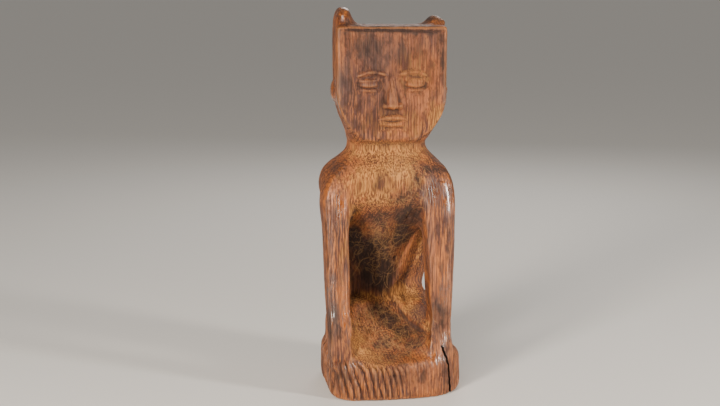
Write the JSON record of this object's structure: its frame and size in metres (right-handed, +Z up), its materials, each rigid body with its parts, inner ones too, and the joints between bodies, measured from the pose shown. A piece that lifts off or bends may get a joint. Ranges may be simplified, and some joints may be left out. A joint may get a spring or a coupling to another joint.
{
  "type": "carved ancestor figure",
  "caption": "Seated figure carved from one block of wood, straight arms reaching down to a rounded plinth, hollow between the arms, flat-fronted head with two crown lugs, one broken.",
  "frame": {"origin": "centre of the plinth's flat underside, which the figure stands on", "axes": "+Z up, the figure faces -Y, and its own left is +X"},
  "size_m": [0.1116, 0.1, 0.3001],
  "materials": {
    "carved_wood": "weathered orange-brown hardwood, hand-polished on the arms, ears and edges, dry and dusty in the hollows"
  },
  "bodies": {
    "root": {"base": "carved_wood", "split_sliver": "carved_wood", "hips": "carved_wood", "torso": "carved_wood", "right_arm": "carved_wood", "left_arm": "carved_wood", "shoulders": "carved_wood", "neck": "carved_wood", "head": "carved_wood", "right_horn": "carved_wood", "left_horn": "carved_wood", "right_ear": "carved_wood", "left_ear": "carved_wood"}
  },
  "joints": []
}
